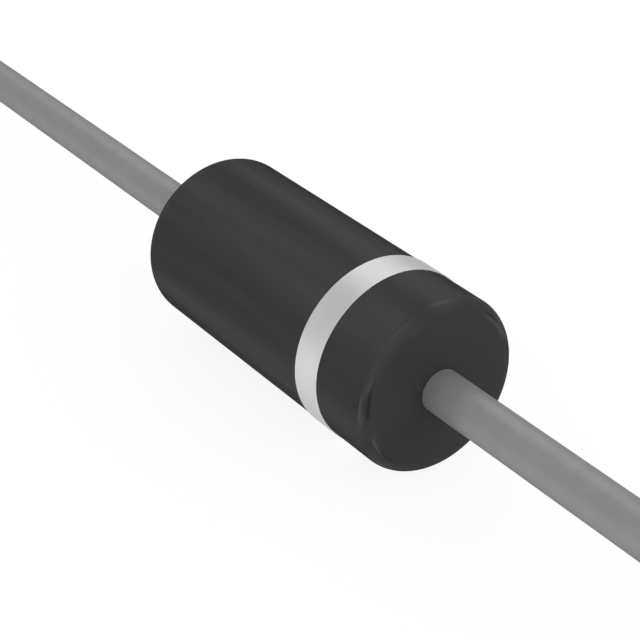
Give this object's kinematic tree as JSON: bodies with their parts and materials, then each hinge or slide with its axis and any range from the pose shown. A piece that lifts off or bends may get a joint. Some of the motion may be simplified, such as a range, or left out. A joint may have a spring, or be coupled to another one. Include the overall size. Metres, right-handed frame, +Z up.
{
  "type": "axial lead tvs diode",
  "caption": "Short round black moulded diode with a light grey cathode band and a straight tinned wire lead from the middle of each end.",
  "frame": {"origin": "middle of the moulded body, on the axis that both leads share", "axes": "+X along the leads towards the banded cathode end, +Z up"},
  "size_m": [0.0584, 0.0036, 0.0036],
  "materials": {
    "moulding_compound": "black epoxy moulding compound, finely textured, with a soft gloss",
    "marking_ink": "light grey printed ink, matte",
    "tinned_wire": "satin tin plating on drawn copper wire",
    "silicon": "dark lapped silicon",
    "solder": "dull solder",
    "silicone": "milky cured silicone"
  },
  "bodies": {
    "root": {"moulded_body": "moulding_compound", "cathode_band": "marking_ink", "cathode_lead": "tinned_wire", "anode_lead": "tinned_wire", "silicon_chip": "silicon", "cathode_solder": "solder", "anode_solder": "solder", "junction_coating": "silicone"}
  },
  "joints": []
}
